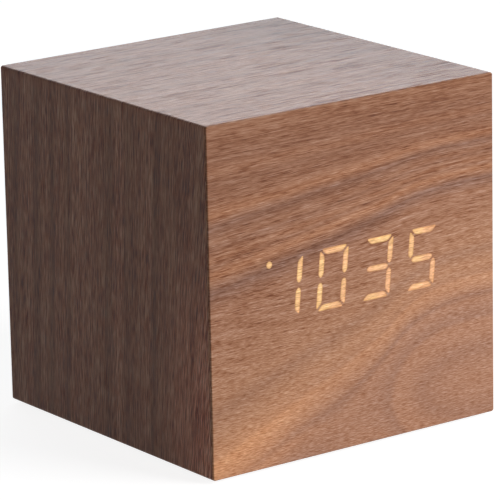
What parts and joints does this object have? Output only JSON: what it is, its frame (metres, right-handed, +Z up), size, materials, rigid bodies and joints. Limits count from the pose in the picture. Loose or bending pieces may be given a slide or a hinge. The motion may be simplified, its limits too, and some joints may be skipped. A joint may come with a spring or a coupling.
{
  "type": "led cube alarm clock",
  "caption": "Wooden cube desk clock whose amber figures shine through walnut veneer, with push buttons, a battery door and a power socket at the back.",
  "frame": {"origin": "under the middle of the clock, on the surface that its feet stand on", "axes": "+Z up, -Y out of the front with the figures, +X to the right seen from the front"},
  "size_m": [0.08, 0.08, 0.0808],
  "materials": {
    "walnut_wrap": "satin walnut veneer",
    "walnut_front": "satin walnut veneer",
    "lit_figures": "warm light through thin veneer",
    "fibreboard": "medium density fibreboard",
    "pine": "sawn pine",
    "milky_film": "milky film",
    "mask_plastic": "black moulded plastic",
    "led_chips": "cast phosphor",
    "green_board": "solder mask",
    "bright_screws": "zinc plated",
    "chip_plastic": "moulded",
    "tin_can": "tinned",
    "black_plastic": "fine moulded grain",
    "black_screws": "black oxide",
    "button_plastic": "smooth moulded",
    "plunger_plastic": "smooth moulded",
    "switch_plastic": "moulded",
    "cell_jacket": "printed film, plain",
    "nickel": "nickel plated",
    "red_wire": "soft insulation",
    "black_wire": "soft insulation",
    "grey_ribbon": "ribbed insulation",
    "plug_plastic": "moulded",
    "foot_rubber": "matt"
  },
  "bodies": {
    "case": {"veneer_wrap": "walnut_wrap", "front_veneer": "walnut_front", "lit_segments": "lit_figures", "top_board": "fibreboard", "bottom_board": "fibreboard", "left_board": "fibreboard", "right_board": "fibreboard", "front_board": "fibreboard", "corner_block_top_left": "pine", "corner_block_top_right": "pine", "corner_block_bottom_left": "pine", "corner_block_bottom_right": "pine", "diffuser_film": "milky_film", "light_mask": "mask_plastic", "segment_leds": "led_chips", "display_board": "green_board", "control_board": "green_board", "display_screws": "bright_screws", "control_board_screws": "bright_screws", "clock_chip": "chip_plastic", "buzzer": "chip_plastic", "socket_tongue": "chip_plastic", "quartz_crystal": "tin_can", "socket_shell": "tin_can", "rear_cover": "black_plastic", "battery_box": "black_plastic", "rear_cover_screws": "black_screws", "set_switch": "switch_plastic", "up_switch": "switch_plastic", "down_switch": "switch_plastic", "battery_cell_lower": "cell_jacket", "battery_cell_middle": "cell_jacket", "battery_cell_upper": "cell_jacket", "battery_contacts": "nickel", "battery_springs": "nickel", "red_lead": "red_wire", "black_lead": "black_wire", "ribbon_cable": "grey_ribbon", "front_ribbon_plug": "plug_plastic", "rear_ribbon_plug": "plug_plastic", "foot_front_left": "foot_rubber", "foot_front_right": "foot_rubber", "foot_back_left": "foot_rubber", "foot_back_right": "foot_rubber"},
    "set_button": {"set_button": "button_plastic", "set_plunger": "plunger_plastic"},
    "up_button": {"up_button": "button_plastic", "up_plunger": "plunger_plastic"},
    "down_button": {"down_button": "button_plastic", "down_plunger": "plunger_plastic"},
    "battery_door": {"battery_door": "black_plastic"}
  },
  "joints": [
    {"name": "set_press", "type": "slide", "parent": "case", "child": "set_button", "axis": [0, -1, 0], "range_m": [0, 0.0005], "stiffness_N_per_m": 400, "springref_m": -0.0005},
    {"name": "up_press", "type": "slide", "parent": "case", "child": "up_button", "axis": [0, -1, 0], "range_m": [0, 0.0005], "stiffness_N_per_m": 400, "springref_m": -0.0005},
    {"name": "down_press", "type": "slide", "parent": "case", "child": "down_button", "axis": [0, -1, 0], "range_m": [0, 0.0005], "stiffness_N_per_m": 400, "springref_m": -0.0005},
    {"name": "door_hinge", "type": "hinge", "parent": "case", "child": "battery_door", "pos_m": [0, 0.03675, 0.0177], "axis": [-1, 0, 0], "range_deg": [0, 95]}
  ]
}
